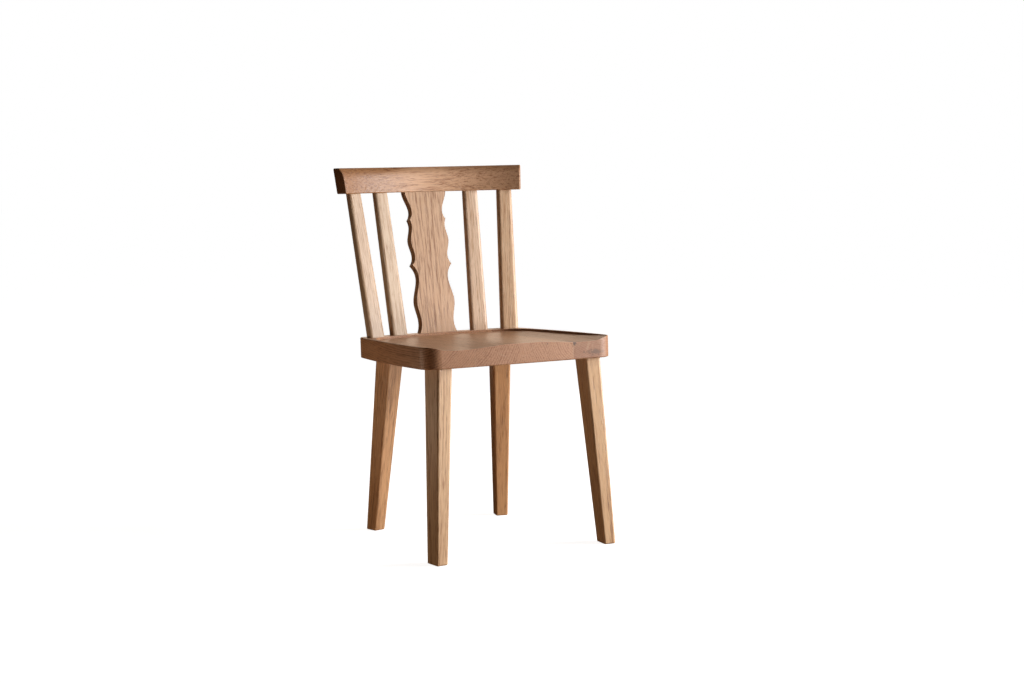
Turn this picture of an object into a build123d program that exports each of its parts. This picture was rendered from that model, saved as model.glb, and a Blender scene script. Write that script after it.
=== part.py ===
from build123d import *
from math import asin, cos, degrees, radians, sin, sqrt, tan
import os

# Dining chair in solid oak, in millimetres.
# +Z is up, -Y is the side the sitter faces, and X = 0 is the plane the chair is symmetric about.
# "Setback" is a distance behind the seat's front edge, measured along the seat's top.

# seat slab
SEAT_HEIGHT = 450  # top of the seat at the front edge
SEAT_TILT = 1.0  # degrees, the seat falls this much towards the back
SEAT_THICKNESS = 46
SEAT_DEPTH = 418  # front corners to back corners
SEAT_FRONT_HALF = 221  # half width at the front corners, before they are rounded
SEAT_BACK_HALF = 193
SEAT_FRONT_BOW = 3  # how far each edge bulges past a straight line
SEAT_SIDE_BOW = 10
SEAT_BACK_BOW = 13
FRONT_CORNER_R = 36
BACK_CORNER_R = 18
SEAT_EDGE_R = 2.5
FRONT_Y = -245.88  # the seat's front edge, placed so the whole chair is centred on Y = 0
BOARD_JOINTS = (-111, 4.5, 120)  # the glue lines between the seat's boards

# hollow in the seat
RIM_WIDTH = 9
LEDGE_SETBACK = 387  # where the raised back ledge starts, on the centre line
LEDGE_SIDE_SETBACK = 368
HOLLOW_CORNER_R = 78
HOLLOW_STATIONS = (-12, 125, 255, 400)
HOLLOW_HALF_X = (0, 45, 82, 122, 165, 180, 192, 204, 230)
HOLLOW_DEPTHS = (  # at each station; at the front the hollow runs out smoothly into the rims
    (3.3, 3.7, 6.4, 9.0, 9.0, 7.9, 4.6, 0.8, -4.0),
    (4.2, 4.7, 6.1, 7.6, 7.4, 6.9, 6.2, 5.2, 3.0),
    (6.0, 6.3, 6.9, 7.0, 6.2, 5.6, 5.2, 4.9, 4.4),
    (3.4, 3.4, 3.6, 3.8, 3.8, 3.8, 3.7, 3.7, 3.6),
)

# legs
FRONT_LEG_TOP = (177, 38.7)  # X and setback where the leg meets the underside
FRONT_LEG_FOOT = (201.5, 13.6)
FRONT_LEG_TURN = 5  # degrees each leg is turned to face inwards
FRONT_LEG_SECTIONS = ((36, 57), (26.5, 42.5))  # width and depth, at the seat and at the floor
BACK_LEG_TOP = (138, 376.3)
BACK_LEG_FOOT = (160, 434.2)
BACK_LEG_TURN = 14
BACK_LEG_SECTIONS = ((42.5, 50), (28.5, 33.5))
LEG_CORNER_R = (5, 4)  # at the seat and at the floor
FOOT_EDGE_R = 3
TENON_R = 14
TENON_LENGTH = 28
TENON_CHAMFER = 1.5

# crest rail
CREST_BOTTOM_Z = 762.8
CREST_HEIGHT = 57.2
CREST_THICKNESS = 27
CREST_TOP_THICKNESS = 15.5
CREST_LEAN = 9.5  # degrees
CREST_ARC_R = 455  # radius in plan of the middle of its underside
CREST_SETBACK = 477.5  # that middle line, on the centre line of the chair
CREST_HALF_LENGTH = 231  # at its back
CREST_STRAIGHT = 0.58  # share of the height before the front starts to round over
CREST_EDGE_R = 3

# spindles and splat
SEAT_ARC_R = 395  # the spindles' feet stand on this arc in plan
SEAT_ARC_SETBACK = 420
OUTER_SPINDLE_X = (167.6, 189)  # at the seat and at the crest rail
OUTER_SPINDLE_TURN = 13
INNER_SPINDLE_X = (101, 113.3)
INNER_SPINDLE_TURN = 8
SPINDLE_FOOT = (41.5, 19.5)  # width and depth
SPINDLE_TOP = (35.5, 17)
SPINDLE_CORNER_R = 8
SPLAT_THICKNESS = 21
SPLAT_FOOT_SETBACK = 418.1
SPLAT_TOP_SETBACK = 473.8
# half width of the splat against the height above the seat, between one point and the next
SPLAT_LOWER = ((49.0, -6), (40.5, 32), (47.1, 69.5), (36.3, 122.5), (48.6, 155))
SPLAT_MIDDLE = ((48.6, 155), (40.7, 177), (47.2, 211.5), (41.3, 241.5), (44.8, 259.5))
SPLAT_UPPER = ((44.8, 259.5), (38.7, 284), (47.6, 309), (51, 332))

# dowels
DOWEL_R = 5
SPLAT_DOWEL_R = 4
SPLAT_DOWEL_X = 25
DOWEL_DEPTH = 24  # how far a dowel goes into each of the two pieces it joins
DOWEL_CHAMFER = 1

TILT = radians(SEAT_TILT)
SEAT_TOP = Plane(origin=(0, FRONT_Y, SEAT_HEIGHT), x_dir=(1, 0, 0), z_dir=(0, sin(TILT), cos(TILT)))
CREST_ARC_Y = FRONT_Y + CREST_SETBACK - CREST_ARC_R
SIDES = {"left": -1, "right": 1}


def seat_point(x, setback, height=0):
    """A point on the seat's tilted top, or this height above it, in the chair's frame."""
    return SEAT_TOP.from_local_coords(Vector(x, setback, height))


def seat_plane(height):
    return SEAT_TOP.offset(height)


def arc_y(x, radius, middle_y):
    """Y at this X on an arc that bulges backwards and passes X = 0 at middle_y."""
    return middle_y - radius + sqrt(radius**2 - x**2)


def save(piece, name):
    piece.part.label = name
    export_step(piece.part, f"parts/{name}.step")
    return piece.part


def make_hollow():
    """The shape scooped out of the seat, with an upright wall at the rims and the ledge."""
    with BuildPart() as scoop:
        for station, depths in zip(HOLLOW_STATIONS, HOLLOW_DEPTHS):
            half = [(x, -depth) for x, depth in zip(HOLLOW_HALF_X, depths)]
            mirrored = [(-x, y) for x, y in reversed(half[1:])]
            at = Plane(origin=seat_point(0, station), x_dir=(1, 0, 0), z_dir=-SEAT_TOP.y_dir)
            with BuildSketch(at):
                with BuildLine():
                    bottom = Spline(*mirrored, *half)
                    Polyline(bottom @ 0, (-HOLLOW_HALF_X[-1], 20), (HOLLOW_HALF_X[-1], 20), bottom @ 1)
                make_face()
        loft()
        with BuildSketch(seat_plane(-SEAT_THICKNESS)):
            with BuildLine():
                front = SEAT_FRONT_HALF - RIM_WIDTH
                back = SEAT_BACK_HALF - RIM_WIDTH
                middle = (front + back) / 2 + SEAT_SIDE_BOW
                ThreePointArc((-front, 0), (-middle, SEAT_DEPTH / 2), (-back, LEDGE_SIDE_SETBACK))
                ThreePointArc((-back, LEDGE_SIDE_SETBACK), (0, LEDGE_SETBACK), (back, LEDGE_SIDE_SETBACK))
                ThreePointArc((back, LEDGE_SIDE_SETBACK), (middle, SEAT_DEPTH / 2), (front, 0))
                Polyline((front, 0), (front, -12), (-front, -12), (-front, 0))
            make_face()
            fillet(vertices().sort_by(Axis.Y)[-2:], HOLLOW_CORNER_R)
        extrude(amount=SEAT_THICKNESS + 15, mode=Mode.INTERSECT)
    return scoop.part


def make_seat():
    """The whole glued-up seat, before the mortises and before it is cut into its boards."""
    with BuildPart() as seat:
        with BuildSketch(seat_plane(-SEAT_THICKNESS)):
            with BuildLine():
                front, back = SEAT_FRONT_HALF, SEAT_BACK_HALF
                middle = (front + back) / 2 + SEAT_SIDE_BOW
                ThreePointArc((-front, 0), (0, -SEAT_FRONT_BOW), (front, 0))
                ThreePointArc((front, 0), (middle, SEAT_DEPTH / 2), (back, SEAT_DEPTH))
                ThreePointArc((back, SEAT_DEPTH), (0, SEAT_DEPTH + SEAT_BACK_BOW), (-back, SEAT_DEPTH))
                ThreePointArc((-back, SEAT_DEPTH), (-middle, SEAT_DEPTH / 2), (-front, 0))
            make_face()
            fillet(vertices().sort_by(Axis.Y)[:2], FRONT_CORNER_R)
            fillet(vertices().sort_by(Axis.Y)[-2:], BACK_CORNER_R)
        extrude(amount=SEAT_THICKNESS)
        rims = seat.faces().filter_by(SEAT_TOP).edges()
        fillet(rims, SEAT_EDGE_R)
        add(make_hollow(), mode=Mode.SUBTRACT)
    return seat.part


def make_leg(side, top, foot, turn, sections, name):
    """A tapered leg, deeper than it is wide, with a round tenon on its upper end."""
    head = seat_point(side * top[0], top[1], -SEAT_THICKNESS)
    toe = Vector(side * foot[0], FRONT_Y + foot[1], 0)
    slope = head - toe
    with BuildPart() as leg:
        with BuildSketch(Plane(origin=toe)):
            RectangleRounded(*sections[1], LEG_CORNER_R[1], rotation=-side * turn)
        with BuildSketch(Plane(origin=head, x_dir=(1, 0, 0), z_dir=SEAT_TOP.z_dir)):
            RectangleRounded(*sections[0], LEG_CORNER_R[0], rotation=-side * turn)
        loft()
        fillet(leg.faces().sort_by(Axis.Z)[0].edges(), FOOT_EDGE_R)
        with BuildSketch(Plane(origin=head - slope.normalized() * TENON_R, z_dir=slope)):
            Circle(TENON_R)
        extrude(amount=TENON_R + TENON_LENGTH)
        chamfer(leg.faces().sort_by(Axis.Z)[-1].edges(), TENON_CHAMFER)
    return save(leg, name)


def make_dowel(at, along, radius, name):
    """A dowel centred on the joint between two pieces, running along the upright one."""
    start = at - along.normalized() * DOWEL_DEPTH
    with BuildPart() as dowel:
        with BuildSketch(Plane(origin=start, z_dir=along)):
            Circle(radius)
        extrude(amount=2 * DOWEL_DEPTH)
        chamfer(dowel.edges().filter_by(GeomType.CIRCLE), DOWEL_CHAMFER)
    return save(dowel, name)


def make_spindle(side, xs, turn, dowels, name):
    """A rounded square spindle, running from the seat's ledge to under the crest rail."""
    with BuildPart() as spindle:
        with BuildSketch(seat_plane(0)):
            with Locations((side * xs[0], arc_y(xs[0], SEAT_ARC_R, SEAT_ARC_SETBACK))):
                RectangleRounded(*SPINDLE_FOOT, SPINDLE_CORNER_R, rotation=-side * turn)
        with BuildSketch(Plane.XY.offset(CREST_BOTTOM_Z)):
            with Locations((side * xs[1], arc_y(xs[1], CREST_ARC_R, CREST_ARC_Y + CREST_ARC_R))):
                RectangleRounded(*SPINDLE_TOP, SPINDLE_CORNER_R, rotation=-side * turn)
        loft()
        add(dowels, mode=Mode.SUBTRACT)
    return save(spindle, name)


def make_splat(dowels):
    """The wavy board in the middle of the back, trimmed to the seat and the crest rail."""
    foot = seat_point(0, SPLAT_FOOT_SETBACK)
    head = Vector(0, FRONT_Y + SPLAT_TOP_SETBACK, CREST_BOTTOM_Z)
    up = (head - foot).normalized()
    board = Plane(origin=foot, x_dir=(1, 0, 0), z_dir=(0, -up.Z, up.Y))
    with BuildPart() as splat:
        with BuildSketch(board):
            with BuildLine():
                for wave in (SPLAT_LOWER, SPLAT_MIDDLE, SPLAT_UPPER):
                    Spline(*wave)
                    Spline(*[(-x, y) for x, y in wave])
                Line((-SPLAT_LOWER[0][0], SPLAT_LOWER[0][1]), SPLAT_LOWER[0])
                Line((-SPLAT_UPPER[-1][0], SPLAT_UPPER[-1][1]), SPLAT_UPPER[-1])
            make_face()
        extrude(amount=SPLAT_THICKNESS / 2, both=True)
        split(bisect_by=SEAT_TOP, keep=Keep.TOP)
        split(bisect_by=Plane.XY.offset(CREST_BOTTOM_Z), keep=Keep.BOTTOM)
        add(dowels, mode=Mode.SUBTRACT)
    return save(splat, "splat")


def make_crest(dowels):
    """The curved crest rail: a flat leaning back, and a front that rounds over to the top."""
    lean = tan(radians(CREST_LEAN))
    back = CREST_ARC_R + CREST_THICKNESS / 2
    front = CREST_ARC_R - CREST_THICKNESS / 2
    top_back = (back + lean * CREST_HEIGHT, CREST_BOTTOM_Z + CREST_HEIGHT)
    top_front = (top_back[0] - CREST_TOP_THICKNESS, top_back[1])
    turn_z = CREST_HEIGHT * CREST_STRAIGHT
    turn_front = (front + lean * turn_z, CREST_BOTTOM_Z + turn_z)
    angle = asin(CREST_HALF_LENGTH / back)
    with BuildPart() as crest:
        with BuildSketch(Plane(origin=(0, CREST_ARC_Y, 0), x_dir=(0, 1, 0), z_dir=(1, 0, 0))):
            with BuildLine():
                Polyline(turn_front, (front, CREST_BOTTOM_Z), (back, CREST_BOTTOM_Z), top_back, top_front)
                TangentArc(turn_front, top_front, tangent=(lean, 1))
            make_face()
        arc_axis = Axis((0, CREST_ARC_Y, 0), (0, 0, 1))
        sweep_angle = 2 * degrees(angle) + 8
        revolve(axis=arc_axis, revolution_arc=sweep_angle)
    blank = Rot(Z=-sweep_angle / 2)
    middle = Pos(0, CREST_ARC_Y, 0) * blank * Pos(0, -CREST_ARC_Y, 0) * crest.part
    with BuildPart() as rail:
        add(middle)
        for side in SIDES.values():
            end = (side * CREST_HALF_LENGTH, CREST_ARC_Y + back * cos(angle), CREST_BOTTOM_Z)
            outwards = (side * cos(angle), -sin(angle), 0)
            split(bisect_by=Plane(origin=end, z_dir=outwards), keep=Keep.BOTTOM)
        fillet(rail.edges(), CREST_EDGE_R)
        add(dowels, mode=Mode.SUBTRACT)
    return save(rail, "crest_rail")


def make_board(seat, low, high, cuts, name):
    """One of the boards the seat is glued up from, with its mortises."""
    with BuildPart() as board:
        add(seat)
        with Locations(((low + high) / 2, 0, SEAT_HEIGHT)):
            Box(high - low, 2 * SEAT_DEPTH, 4 * SEAT_THICKNESS, mode=Mode.INTERSECT)
        add(cuts, mode=Mode.SUBTRACT)
    return save(board, name)


def spindle_ends(side, xs):
    foot = seat_point(side * xs[0], arc_y(xs[0], SEAT_ARC_R, SEAT_ARC_SETBACK))
    head_y = arc_y(xs[1], CREST_ARC_R, CREST_ARC_Y + CREST_ARC_R)
    return foot, Vector(side * xs[1], head_y, CREST_BOTTOM_Z)


os.makedirs("parts", exist_ok=True)

legs = []
for side_name, side in SIDES.items():
    front = (FRONT_LEG_TOP, FRONT_LEG_FOOT, FRONT_LEG_TURN, FRONT_LEG_SECTIONS)
    back = (BACK_LEG_TOP, BACK_LEG_FOOT, BACK_LEG_TURN, BACK_LEG_SECTIONS)
    legs.append(make_leg(side, *front, f"leg_front_{side_name}"))
    legs.append(make_leg(side, *back, f"leg_back_{side_name}"))

dowels = []
for side_name, side in SIDES.items():
    for place, xs, turn in (
        ("outer", OUTER_SPINDLE_X, OUTER_SPINDLE_TURN),
        ("inner", INNER_SPINDLE_X, INNER_SPINDLE_TURN),
    ):
        foot, head = spindle_ends(side, xs)
        pair = [
            make_dowel(foot, head - foot, DOWEL_R, f"dowel_foot_{side_name}_{place}"),
            make_dowel(head, head - foot, DOWEL_R, f"dowel_head_{side_name}_{place}"),
        ]
        make_spindle(side, xs, turn, pair, f"spindle_{side_name}_{place}")
        dowels += pair

splat_foot = seat_point(0, SPLAT_FOOT_SETBACK)
splat_head = Vector(0, FRONT_Y + SPLAT_TOP_SETBACK, CREST_BOTTOM_Z)
splat_dowels = []
for side_name, side in SIDES.items():
    along = splat_head - splat_foot
    for end_name, end in (("foot", splat_foot), ("head", splat_head)):
        at = end + Vector(side * SPLAT_DOWEL_X, 0, 0)
        name = f"dowel_{end_name}_splat_{side_name}"
        splat_dowels.append(make_dowel(at, along, SPLAT_DOWEL_R, name))
make_splat(splat_dowels)
dowels += splat_dowels

make_crest(dowels)

seat = make_seat()
edges = (-2 * SEAT_FRONT_HALF, *BOARD_JOINTS, 2 * SEAT_FRONT_HALF)
names = ("left", "centre_left", "centre_right", "right")
for name, low, high in zip(names, edges[:-1], edges[1:]):
    make_board(seat, low, high, legs + dowels, f"seat_board_{name}")
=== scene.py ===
import math

import bpy
import numpy as np
from mathutils import Matrix, Vector


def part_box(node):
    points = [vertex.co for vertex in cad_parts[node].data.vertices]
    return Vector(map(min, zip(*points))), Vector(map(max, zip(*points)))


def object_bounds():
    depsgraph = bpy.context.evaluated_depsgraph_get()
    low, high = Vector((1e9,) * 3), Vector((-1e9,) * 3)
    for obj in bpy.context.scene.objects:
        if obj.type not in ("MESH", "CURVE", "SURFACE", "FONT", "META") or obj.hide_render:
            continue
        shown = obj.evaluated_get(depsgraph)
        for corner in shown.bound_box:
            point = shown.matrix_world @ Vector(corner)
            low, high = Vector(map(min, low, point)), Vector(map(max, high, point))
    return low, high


# ---------------------------------------------------------------- the oak, as a node group

LATE_WOOD = (0.520, 0.315, 0.170)
EARLY_WOOD = (0.300, 0.150, 0.066)
PORE = (0.110, 0.050, 0.022)
KNOT = (0.060, 0.028, 0.016)
RAY = (0.640, 0.430, 0.260)
PAINTED_SHADE_TINT = (0.52, 0.41, 0.29)  # painted shade: what a darker, redder stretch of the wood, or a shaded top, multiplies its colour by

# How fine each texture is across the grain and along it, per metre
RING_WAVES = (11, 1.9)
RING_RIPPLES = (70, 9)
BROAD_STREAKS = (120, 3.2)
FIBRES = (270, 12)
DASHES = (340, 24)
FINE_LINES = (950, 26)
PORE_LINES = (1150, 34)
CLOUDS = (7, 3)
WEAR = (40, 12)
KNOT_EDGE = (160, 160)

EDGE_WIDTH = 0.0022
RING_WAVE_SIZE = (0.028, 0.028, 0)
RING_RIPPLE_SIZE = (0.0026, 0.0026, 0)
MIDDLE_GREY = (0.5, 0.5, 0.5)
ACROSS = Vector((1, 0, 0))
BACKWARD = Vector((0, 1, 0))


class Nodes:
    """Short calls for adding linked shader nodes to one node tree."""

    def __init__(self, tree):
        self.tree = tree

    def put(self, socket, value):
        if isinstance(value, bpy.types.NodeSocket):
            self.tree.links.new(value, socket)
        elif value is not None:
            socket.default_value = value

    def math(self, operation, a, b=None, clamp=False):
        n = self.tree.nodes.new("ShaderNodeMath")
        n.operation, n.use_clamp = operation, clamp
        self.put(n.inputs[0], a)
        self.put(n.inputs[1], b)
        return n.outputs[0]

    def vector(self, operation, a, b=None):
        n = self.tree.nodes.new("ShaderNodeVectorMath")
        n.operation = operation
        self.put(n.inputs[0], a)
        self.put(n.inputs[1], b)
        return n.outputs["Value" if operation in ("DOT_PRODUCT", "LENGTH") else "Vector"]

    def split(self, v):
        n = self.tree.nodes.new("ShaderNodeSeparateXYZ")
        self.put(n.inputs[0], v)
        return n.outputs

    def join(self, x, y, z):
        n = self.tree.nodes.new("ShaderNodeCombineXYZ")
        for socket, value in zip(n.inputs, (x, y, z)):
            self.put(socket, value)
        return n.outputs[0]

    def noise(self, at, detail=2.0, roughness=0.5, colour=False):
        n = self.tree.nodes.new("ShaderNodeTexNoise")
        self.put(n.inputs["Vector"], at)
        n.inputs["Scale"].default_value = 1.0
        n.inputs["Detail"].default_value = detail
        n.inputs["Roughness"].default_value = roughness
        return n.outputs["Color" if colour else "Fac"]

    def white(self, value):
        n = self.tree.nodes.new("ShaderNodeTexWhiteNoise")
        n.noise_dimensions = "1D"
        self.put(n.inputs["W"], value)
        return n.outputs["Value"]

    def ramp(self, value, low, high, to_low=0.0, to_high=1.0, smooth=True):
        n = self.tree.nodes.new("ShaderNodeMapRange")
        n.interpolation_type = "SMOOTHSTEP" if smooth else "LINEAR"
        limits = {"From Min": low, "From Max": high, "To Min": to_low, "To Max": to_high}
        for name, v in {"Value": value, **limits}.items():
            self.put(n.inputs[name], v)
        return n.outputs[0]

    def mix(self, factor, a, b, blend="MIX"):
        n = self.tree.nodes.new("ShaderNodeMix")
        n.data_type, n.blend_type = "RGBA", blend
        self.put(n.inputs["Factor"], factor)
        self.put(n.inputs["A"], (*a, 1) if isinstance(a, tuple) else a)
        self.put(n.inputs["B"], (*b, 1) if isinstance(b, tuple) else b)
        return n.outputs["Result"]


def stretched(n, at, across, along):
    """Coordinates for a texture that is finer across the grain than along it."""
    return n.vector("MULTIPLY", at, (across, across, along))


def ring_pattern(n, at, spacing, seed):
    """Growth rings round the pith, and how much of the early wood each point has."""
    slow = n.noise(n.vector("ADD", stretched(n, at, *RING_WAVES), seed), 2.0, 0.45, colour=True)
    quick = n.noise(n.vector("ADD", stretched(n, at, *RING_RIPPLES), seed), 2.0, 0.5, colour=True)
    wave = n.vector("MULTIPLY", n.vector("SUBTRACT", slow, MIDDLE_GREY), RING_WAVE_SIZE)
    ripple = n.vector("MULTIPLY", n.vector("SUBTRACT", quick, MIDDLE_GREY), RING_RIPPLE_SIZE)
    moved = n.split(n.vector("ADD", n.vector("ADD", at, wave), ripple))
    radius = n.vector("LENGTH", n.join(moved[0], moved[1], 0.0))
    angle = n.math("ARCTAN2", moved[1], moved[0])
    uneven = n.noise(n.join(n.math("MULTIPLY", radius, 60), 3.0, 0.0), 2.0)
    phase = n.math("ADD", n.math("DIVIDE", radius, spacing), n.math("MULTIPLY", uneven, 1.6))
    share = n.math("FRACT", phase)
    ring = n.white(n.math("FLOOR", phase))
    rise = n.ramp(share, 0.0, 0.10)
    fall = n.ramp(share, 0.18, n.math("ADD", 0.45, n.math("MULTIPLY", ring, 0.3)), 1.0, 0.0)
    early = n.math("MULTIPLY", n.math("MULTIPLY", rise, fall), n.ramp(ring, 0.0, 1.0, 0.45, 1.0, False))
    return early, radius, angle


def ray_flecks(n, at, seed, radius, angle):
    """Short pale flecks that run from the pith outwards."""
    arc = n.math("MULTIPLY", angle, 0.09)
    place = n.vector("MULTIPLY", n.join(arc, radius, n.split(at)[2]), (520, 22, 45))
    return n.ramp(n.noise(n.vector("ADD", place, seed), 2.0, 0.5), 0.60, 0.72)


def streak_tone(n, at, fine):
    """Darker and lighter lines along the grain, as an amount to add to the tone."""
    broad = n.noise(stretched(n, at, *BROAD_STREAKS), 2.0, 0.6)
    fibre = n.noise(stretched(n, at, *FIBRES), 3.0, 0.65)
    dash_noise = n.noise(stretched(n, n.vector("ADD", at, (3.0, 1.0, 2.0)), *DASHES), 2.0, 0.6)
    dashes = n.ramp(dash_noise, 0.54, 0.68)
    tone = n.math("MULTIPLY", n.math("SUBTRACT", broad, 0.5), 1.3)
    for lines, mean, strength in ((fibre, 0.5, 2.9), (fine, 0.5, 1.9), (dashes, 0.1, 0.75)):
        tone = n.math("ADD", tone, n.math("MULTIPLY", n.math("SUBTRACT", lines, mean), strength))
    return tone


def oak_colour(n, given, early, streaks, cloud, pores, rays):
    """From light to dark wood by its tone, then pores, flecks, end grain, wear, painted shade and knots."""
    rings = n.math("MULTIPLY", early, given["Rings"])
    tone = n.math("ADD", rings, n.math("MULTIPLY", streaks, given["Streaks"]))
    tone = n.math("ADD", tone, n.ramp(cloud, 0.25, 0.75, -0.05, 0.22), clamp=True)
    colour = n.mix(tone, given["Light"], given["Dark"])
    colour = n.mix(n.math("MULTIPLY", pores, 0.62), colour, PORE)
    colour = n.mix(n.math("MULTIPLY", rays, 0.22), colour, RAY)
    colour = n.mix(n.math("MULTIPLY", given["End grain"], 0.30), colour, EARLY_WOOD, "MULTIPLY")
    colour = n.mix(n.math("MULTIPLY", given["Edge"], 0.28), colour, RAY)
    # painted shade: darkens the crest's ends and its upward faces
    colour = n.mix(given["Shade"], colour, PAINTED_SHADE_TINT, "MULTIPLY")
    return n.mix(given["Knots"], colour, KNOT)


def oak_roughness(n, given, cloud, pores):
    """Satin wood: duller in the pores and on end grain, smoother on worn edges."""
    rough = n.math("ADD", n.ramp(cloud, 0.2, 0.8, 0.36, 0.47), n.math("MULTIPLY", pores, 0.16))
    rough = n.math("ADD", rough, n.math("MULTIPLY", given["End grain"], 0.08))
    return n.math("SUBTRACT", rough, n.math("MULTIPLY", given["Edge"], 0.06))


def oak_height(n, early, fine, pores):
    """Pores and early wood lie a little lower than the fibres."""
    height = n.math("SUBTRACT", n.math("MULTIPLY", fine, 0.18), pores)
    return n.math("SUBTRACT", height, n.math("MULTIPLY", early, 0.35))


OAK_INPUTS = (
    ("Grain", "NodeSocketVector", (0, 0, 0)),
    ("Seed", "NodeSocketVector", (0, 0, 0)),
    ("Spacing", "NodeSocketFloat", 0.004),
    ("Rings", "NodeSocketFloat", 0.6),
    ("Streaks", "NodeSocketFloat", 0.5),
    ("End grain", "NodeSocketFloat", 0.0),
    ("Edge", "NodeSocketFloat", 0.0),
    ("Shade", "NodeSocketFloat", 0.0),
    ("Knots", "NodeSocketFloat", 0.0),
    ("Light", "NodeSocketColor", (*LATE_WOOD, 1)),
    ("Dark", "NodeSocketColor", (*EARLY_WOOD, 1)),
)
OAK_OUTPUTS = (("Color", "NodeSocketColor"), ("Roughness", "NodeSocketFloat"), ("Height", "NodeSocketFloat"))


def oak_group():
    """Oak seen from any side: rings, pores, fibres and rays in a space where Z runs along the grain."""
    tree = bpy.data.node_groups.new("oak_wood", "ShaderNodeTree")
    for name, kind, value in OAK_INPUTS:
        tree.interface.new_socket(name, in_out="INPUT", socket_type=kind).default_value = value
    for name, kind in OAK_OUTPUTS:
        tree.interface.new_socket(name, in_out="OUTPUT", socket_type=kind)
    n = Nodes(tree)
    given = tree.nodes.new("NodeGroupInput").outputs
    at, seed = given["Grain"], given["Seed"]
    early, radius, angle = ring_pattern(n, at, given["Spacing"], seed)
    shifted = n.vector("ADD", at, n.vector("MULTIPLY", seed, (0.37, 0.37, 0.37)))
    fine = n.noise(stretched(n, shifted, *FINE_LINES), 2.0, 0.6)
    cloud = n.noise(n.vector("ADD", stretched(n, at, *CLOUDS), seed), 2.0, 0.5)
    pore_noise = n.noise(stretched(n, shifted, *PORE_LINES), 1.0, 0.5)
    pore_share = n.math("ADD", 0.28, n.math("MULTIPLY", early, 0.9))
    pores = n.math("MULTIPLY", n.ramp(pore_noise, 0.56, 0.68), pore_share, clamp=True)
    rays = ray_flecks(n, at, seed, radius, angle)
    streaks = streak_tone(n, shifted, fine)

    out = tree.nodes.new("NodeGroupOutput").inputs
    n.put(out["Color"], oak_colour(n, given, early, streaks, cloud, pores, rays))
    n.put(out["Roughness"], oak_roughness(n, given, cloud, pores))
    n.put(out["Height"], oak_height(n, early, fine, pores))
    return tree


# ---------------------------------------------------------------- one material per piece


def long_axis(node):
    """The direction a slender piece runs in, pointing up."""
    places = np.array([v.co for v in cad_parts[node].data.vertices])
    axis = Vector(np.linalg.svd(places - places.mean(0), full_matrices=False)[2][0])
    return axis if axis.z > 0 else -axis


def middle(node):
    """The middle of a node's box."""
    low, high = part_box(node)
    return (low + high) / 2


def grain_coordinates(n, axis, side, origin):
    """Object coordinates turned so that Z runs along the grain and X along the given side."""
    z = axis.normalized()
    y = z.cross(side).normalized()
    x = y.cross(z)
    at = n.tree.nodes.new("ShaderNodeTexCoord").outputs["Object"]
    at = n.vector("SUBTRACT", at, tuple(origin))
    return n.join(*[n.vector("DOT_PRODUCT", at, tuple(d)) for d in (x, y, z)])


def edge_mask(n, radius):
    """1 along the arrises, 0 on the flats."""
    bevel = n.tree.nodes.new("ShaderNodeBevel")
    bevel.samples = 6
    bevel.inputs["Radius"].default_value = radius
    normal = n.tree.nodes.new("ShaderNodeNewGeometry").outputs["Normal"]
    same = n.vector("DOT_PRODUCT", bevel.outputs[0], normal)
    return n.ramp(same, 0.995, 0.86)


def total(n, amounts):
    """The sum of some amounts, at most 1."""
    result = 0.0
    for amount in amounts:
        result = n.math("ADD", result, amount, clamp=True)
    return result


def shade_along(n, at, stretches):
    """How much painted shade the wood gets along its grain; each stretch fades between two places."""
    along = n.split(at)[2]
    return total(n, [n.ramp(along, *stretch) for stretch in stretches])


def knots_on(n, marks):
    """Dark knots, each given by its centre, its width and height, and how dark it is."""
    here = n.tree.nodes.new("ShaderNodeTexCoord").outputs["Object"]
    edge = n.noise(stretched(n, here, *KNOT_EDGE), 3.0, 0.6, colour=True)
    ragged = n.vector("SUBTRACT", edge, MIDDLE_GREY)
    spots = []
    for centre, width, height, strength in marks:
        off = n.vector("MULTIPLY", n.vector("SUBTRACT", here, centre), (2 / width, 8.0, 2 / height))
        off = n.vector("ADD", off, n.vector("MULTIPLY", ragged, (2.6, 0.0, 2.6)))
        spots.append(n.ramp(n.vector("LENGTH", off), 0.35, 1.1, strength, 0.0))
    return total(n, spots)


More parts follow.
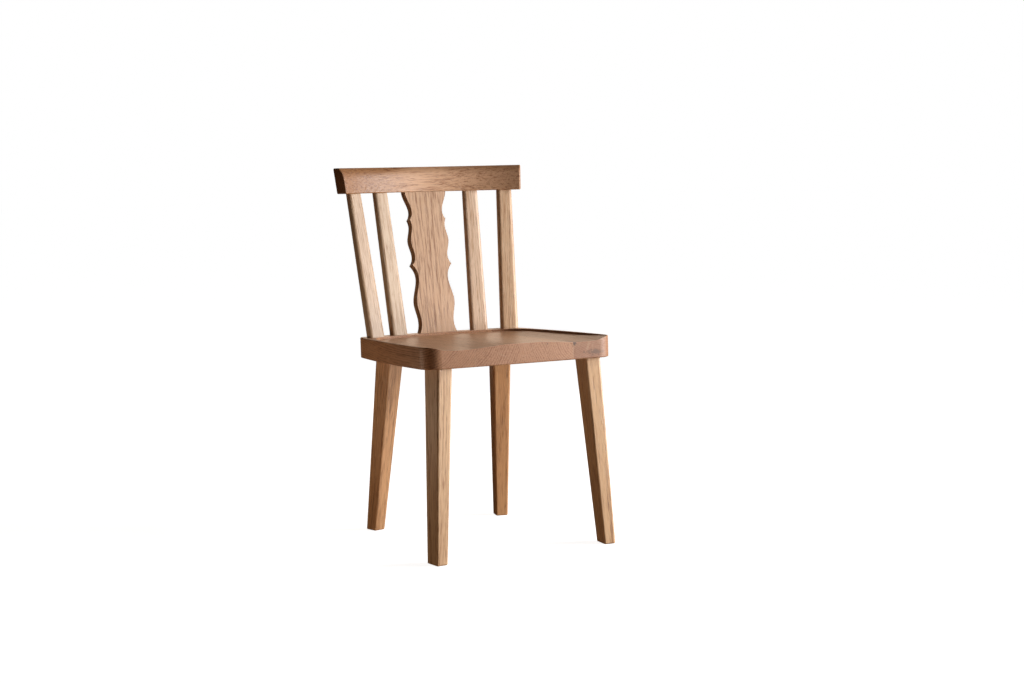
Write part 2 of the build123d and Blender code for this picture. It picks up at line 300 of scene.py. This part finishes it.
def oak_material(
    name, axis, side, pith, seed, light, dark,
    spacing=0.0042, rings=0.6, streaks=0.5, marks=(), painted_shade_stretches=(), painted_top_shade_amount=0.0,
):
    """Oak for one piece: its grain runs along axis, its rings go round the pith, and painted shade darkens
    its upward faces.
    """
    material = bpy.data.materials.new(name)
    material.use_nodes = True
    tree = material.node_tree
    tree.nodes.clear()
    n = Nodes(tree)
    at = grain_coordinates(n, axis, side, pith)
    normal = tree.nodes.new("ShaderNodeNewGeometry").outputs["Normal"]
    facing = n.math("ABSOLUTE", n.vector("DOT_PRODUCT", normal, tuple(axis.normalized())))
    uneven = n.ramp(n.noise(stretched(n, at, *WEAR)), 0.3, 0.7, 0.25, 1.0)
    # painted shade: faces that point up are darker, standing in for light that does not reach the top
    top_painted_shade_mask = n.ramp(n.split(normal)[2], 0.3, 0.9, 0.0, painted_top_shade_amount)
    wood = tree.nodes.new("ShaderNodeGroup")
    wood.node_tree = OAK
    for socket, value in (
        ("Grain", at),
        ("Seed", (seed * 3.7, seed * 1.9, seed * 5.3)),
        ("Spacing", spacing),
        ("Rings", rings),
        ("Streaks", streaks),
        ("End grain", n.ramp(facing, 0.55, 0.95)),
        ("Edge", n.math("MULTIPLY", edge_mask(n, EDGE_WIDTH), uneven)),
        ("Shade", total(n, [shade_along(n, at, painted_shade_stretches), top_painted_shade_mask])),
        ("Knots", knots_on(n, marks)),
        ("Light", (*light, 1)),
        ("Dark", (*dark, 1)),
    ):
        n.put(wood.inputs[socket], value)
    shader = tree.nodes.new("ShaderNodeBsdfPrincipled")
    shader.inputs["IOR"].default_value = 1.48
    bump = tree.nodes.new("ShaderNodeBump")
    bump.inputs["Strength"].default_value = 0.55
    bump.inputs["Distance"].default_value = 0.0004
    n.put(bump.inputs["Height"], wood.outputs["Height"])
    n.put(shader.inputs["Base Color"], wood.outputs["Color"])
    n.put(shader.inputs["Roughness"], wood.outputs["Roughness"])
    n.put(shader.inputs["Normal"], bump.outputs[0])
    out = tree.nodes.new("ShaderNodeOutputMaterial")
    n.put(out.inputs["Surface"], shader.outputs[0])
    return material


def dress(node, axis, side, pith, seed, **look):
    """Gives a CAD piece its own oak; the pith is given from the middle of the piece."""
    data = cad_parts[node].data
    data.materials.clear()
    data.materials.append(oak_material(node + "_oak", axis, side, middle(node) + Vector(pith), seed, **look))


def dress_slender(node, seed, pith, **look):
    """A leg, spindle, dowel or the splat: the grain runs along it."""
    dress(node, long_axis(node), ACROSS, pith, seed, **look)


# ---------------------------------------------------------------- stage, light and camera


FLOOR_REACH = 60
FLOOR_GLOW = (0.90, 1.0)  # under the chair, and away from it
FLOOR_GLOW_RADIUS = (0.8, 3.5)
LIGHT_AIM = Vector((0, 0, 0.45))
WHITE, WARM, CREAM = (1, 1, 1), (1.0, 0.62, 0.38), (1.0, 0.80, 0.62)
VIEW_AZIMUTH, VIEW_PITCH, VIEW_ROLL = math.radians(27.4), math.radians(5.2), math.radians(-1.31)
VIEW_TARGET = Vector((0.08422, -0.03688, 0.43011))
VIEW_DISTANCE = 3.98079
LENS, SENSOR_WIDTH = 63.355, 36


def make_floor():
    """A plain white floor that keeps only a faint shadow round the feet."""
    mesh = bpy.data.meshes.new("floor")
    corners = [(x * FLOOR_REACH, y * FLOOR_REACH, 0) for x, y in ((-1, -1), (1, -1), (1, 1), (-1, 1))]
    mesh.from_pydata(corners, [], [(0, 1, 2, 3)])
    floor = bpy.data.objects.new("floor", mesh)
    bpy.context.scene.collection.objects.link(floor)
    material = bpy.data.materials.new("floor_white")
    material.use_nodes = True
    n = Nodes(material.node_tree)
    shader = material.node_tree.nodes["Principled BSDF"]
    shader.inputs["Base Color"].default_value = (0.5, 0.5, 0.5, 1)
    shader.inputs["Roughness"].default_value = 0.9
    shader.inputs["Specular IOR Level"].default_value = 0.0
    shader.inputs["Emission Color"].default_value = (1, 1, 1, 1)
    at = material.node_tree.nodes.new("ShaderNodeTexCoord").outputs["Object"]
    glow = n.ramp(n.vector("LENGTH", at), *FLOOR_GLOW_RADIUS, *FLOOR_GLOW)
    n.put(shader.inputs["Emission Strength"], glow)
    mesh.materials.append(material)
    floor.visible_diffuse = False
    floor.visible_glossy = False
    floor.visible_shadow = False


def make_world():
    """A white backdrop that only the camera sees."""
    world = bpy.data.worlds.new("studio")
    bpy.context.scene.world = world
    world.use_nodes = True
    world.node_tree.nodes["Background"].inputs["Color"].default_value = (1, 1, 1, 1)
    world.node_tree.nodes["Background"].inputs["Strength"].default_value = 1.0
    seen = world.cycles_visibility
    seen.diffuse = seen.glossy = seen.transmission = seen.scatter = False


def studio_light(name, azimuth, elevation, distance, size, watts, colour=WHITE):
    """A soft panel that faces the chair; azimuth 0 is in front of the seat and 90 to its right."""
    a, e = math.radians(azimuth), math.radians(elevation)
    away = Vector((math.sin(a) * math.cos(e), -math.cos(a) * math.cos(e), math.sin(e)))
    data = bpy.data.lights.new(name, "AREA")
    data.shape = "RECTANGLE"
    data.size, data.size_y = size
    data.energy, data.color = watts, colour
    lamp = bpy.data.objects.new(name, data)
    bpy.context.scene.collection.objects.link(lamp)
    lamp.location = LIGHT_AIM + away * distance
    lamp.rotation_euler = (-away).to_track_quat("-Z", "Y").to_euler()


def make_lights():
    """A broad key at the front right, weaker lights behind, and a little fill at the left and below."""
    studio_light("key", 62, 3, 2.6, (0.8, 1.3), 60)
    studio_light("key_inner", 52, 3, 2.6, (0.9, 1.3), 36)
    studio_light("front", 40, 3, 2.6, (0.9, 1.3), 14)
    studio_light("key_high", 60, 34, 2.6, (0.9, 1.0), 34)
    studio_light("back", 157, 8, 2.6, (1.8, 1.4), 14, CREAM)
    studio_light("fill_left", -100, -14, 0.75, (0.5, 0.15), 0.95, CREAM)
    studio_light("back_high", 172, 48, 2.6, (1.6, 1.2), 9, CREAM)
    studio_light("fill_low", -30, -50, 2.2, (2.0, 2.0), 8, WARM)


def make_camera():
    """The viewing angle: a long lens from the front left, a little above the seat, turned slightly."""
    level = Vector((math.sin(VIEW_AZIMUTH), math.cos(VIEW_AZIMUTH), 0))
    ahead = level * math.cos(VIEW_PITCH) - Vector((0, 0, math.sin(VIEW_PITCH)))
    right = Vector((math.cos(VIEW_AZIMUTH), -math.sin(VIEW_AZIMUTH), 0))
    up = right.cross(ahead)
    right, up = (
        right * math.cos(VIEW_ROLL) + up * math.sin(VIEW_ROLL),
        up * math.cos(VIEW_ROLL) - right * math.sin(VIEW_ROLL),
    )
    data = bpy.data.cameras.new("camera")
    data.lens, data.sensor_width = LENS, SENSOR_WIDTH
    data.clip_end = 200
    camera = bpy.data.objects.new("camera", data)
    bpy.context.scene.collection.objects.link(camera)
    turn = Matrix((right, up, -ahead)).transposed().to_4x4()
    camera.matrix_world = Matrix.Translation(VIEW_TARGET - ahead * VIEW_DISTANCE) @ turn
    bpy.context.scene.camera = camera


# ---------------------------------------------------------------- the chair

SEAT_LOOK = dict(spacing=0.0046, rings=0.75, streaks=0.6, dark=(0.300, 0.130, 0.058))
SEAT_LIGHT, RIGHT_BOARD_LIGHT = (0.53, 0.275, 0.145), (0.38, 0.190, 0.100)
SEAT_PITHS = {  # across, along and above the middle of the board, and the seed
    "seat_board_left": ((-0.12, 0, 0.16), 1.3),
    "seat_board_centre_left": ((-0.115, 0, 0.075), 2.9),
    "seat_board_centre_right": ((0.115, 0, 0.075), 4.1),
    "seat_board_right": ((0.06, 0, 0.17), 5.7),
}

CREST_LOOK = dict(
    light=(0.60, 0.350, 0.208),
    dark=(0.32, 0.145, 0.070),
    spacing=0.0045,
    rings=0.15,
    streaks=1.2,
    painted_shade_stretches=((-0.15, 0.0, 1.0, 0.0), (0.02, 0.20, 0.0, 0.42)),  # painted shade to the left of the middle, and to its right
    # painted shade on the crest's upward faces
    painted_top_shade_amount=0.55,
)
SPLAT_LOOK = dict(light=(0.53, 0.32, 0.19), dark=(0.26, 0.12, 0.054), spacing=0.0045, rings=0.5, streaks=1.0)
SPINDLE_LOOK = dict(rings=0.35, streaks=0.9)
# painted light and shade: the left spindles get darker wood and the right ones lighter, to even out how the
# key light falls on them
SPINDLE_COLOURS = {
    "left_outer": ((0.49, 0.325, 0.200), (0.33, 0.185, 0.10)),
    "left_inner": ((0.55, 0.40, 0.27), (0.38, 0.22, 0.12)),
    "right_inner": ((0.66, 0.46, 0.32), (0.42, 0.24, 0.13)),
    "right_outer": ((0.61, 0.395, 0.240), (0.38, 0.20, 0.10)),
}

LEG_LOOK = dict(spacing=0.0048, rings=0.45, streaks=0.8)
# the back legs get darker, more orange wood: partly their own tone, partly painted shade under the seat
LEG_COLOURS = {
    "front_left": ((0.66, 0.42, 0.235), (0.36, 0.18, 0.085)),
    "front_right": ((0.63, 0.395, 0.22), (0.36, 0.18, 0.085)),
    "back_left": ((0.64, 0.345, 0.165), (0.33, 0.155, 0.066)),
    "back_right": ((0.56, 0.295, 0.135), (0.34, 0.150, 0.058)),
}
DOWEL_LOOK = dict(light=(0.62, 0.44, 0.28), dark=(0.50, 0.33, 0.19), rings=0.2, streaks=0.2)


def seat_knots(front):
    """Knots in the seat's front edge: centre, width, height and darkness."""
    small = ((0.057, front, 0.442), 0.007, 0.005, 0.6)
    large = ((0.122, front, 0.439), 0.013, 0.010, 0.85)
    smudge = ((0.173, front, 0.417), 0.050, 0.014, 0.6)
    return {"seat_board_centre_right": (small,), "seat_board_right": (large, smudge)}


def dress_seat(front):
    knots = seat_knots(front)
    for node, (pith, seed) in SEAT_PITHS.items():
        light = RIGHT_BOARD_LIGHT if node == "seat_board_right" else SEAT_LIGHT
        dress(node, BACKWARD, ACROSS, pith, seed, light=light, marks=knots.get(node, ()), **SEAT_LOOK)


def dress_back():
    dress("crest_rail", ACROSS, BACKWARD, (0, 0.055, -0.06), 7.7, **CREST_LOOK)
    dress_slender("splat", 9.1, (0.02, 0.05, 0), **SPLAT_LOOK)
    for i, (place, (light, dark)) in enumerate(SPINDLE_COLOURS.items()):
        pith = (0.05 - 0.04 * i, 0.04 + 0.02 * (i % 2), 0)
        dress_slender(f"spindle_{place}", 11.3 + 2.3 * i, pith, light=light, dark=dark, **SPINDLE_LOOK)


def dress_legs():
    for i, (place, (light, dark)) in enumerate(LEG_COLOURS.items()):
        pith = (0.06 - 0.03 * i, 0.05 - 0.12 * (i // 2), 0)
        dress_slender(f"leg_{place}", 42.3 + 2.1 * i, pith, light=light, dark=dark, **LEG_LOOK)


def dress_dowels():
    for i, node in enumerate(sorted(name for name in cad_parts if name.startswith("dowel"))):
        dress_slender(node, 60 + i * 1.7, (0.03, 0.02, 0), **DOWEL_LOOK)


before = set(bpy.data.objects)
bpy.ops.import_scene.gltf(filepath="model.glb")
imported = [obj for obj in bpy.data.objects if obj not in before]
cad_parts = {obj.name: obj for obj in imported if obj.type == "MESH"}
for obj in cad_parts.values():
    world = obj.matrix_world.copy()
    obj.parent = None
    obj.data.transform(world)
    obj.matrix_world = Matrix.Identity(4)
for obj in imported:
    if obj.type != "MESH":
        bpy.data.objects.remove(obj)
cad_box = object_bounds()
OAK = oak_group()
dress_seat(cad_box[0][1])
dress_back()
dress_legs()
dress_dowels()
make_floor()
make_world()
make_lights()
make_camera()
bpy.context.scene.view_settings.view_transform = "Standard"
